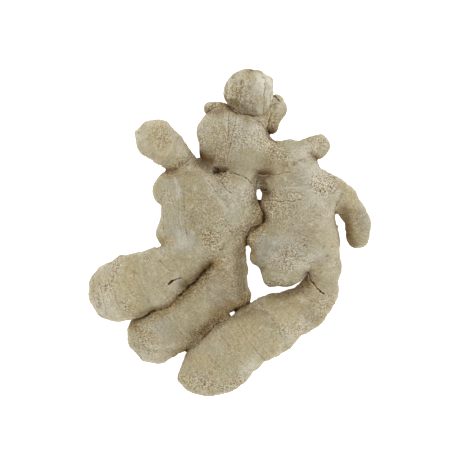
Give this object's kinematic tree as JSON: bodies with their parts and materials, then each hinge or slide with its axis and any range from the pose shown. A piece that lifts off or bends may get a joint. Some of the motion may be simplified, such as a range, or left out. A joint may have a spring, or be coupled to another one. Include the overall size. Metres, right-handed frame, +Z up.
{
  "type": "ginger root",
  "caption": "Fresh ginger rhizome lying flat: two flattened palms with stubby ringed fingers, knobs and a ball-shaped head, grown as one piece.",
  "frame": {"origin": "middle of the footprint, on the surface the rhizome lies on", "axes": "+Z up from that surface, +Y towards the end with the ball, +X towards the side with the short arm"},
  "size_m": [0.1471, 0.1701, 0.04],
  "materials": {
    "ginger_skin": "dry papery skin, matte, grey-beige with ochre mottling, brown in the creases, ringed by thin leaf scars"
  },
  "bodies": {
    "root": {"ginger_rhizome": "ginger_skin"}
  },
  "joints": []
}
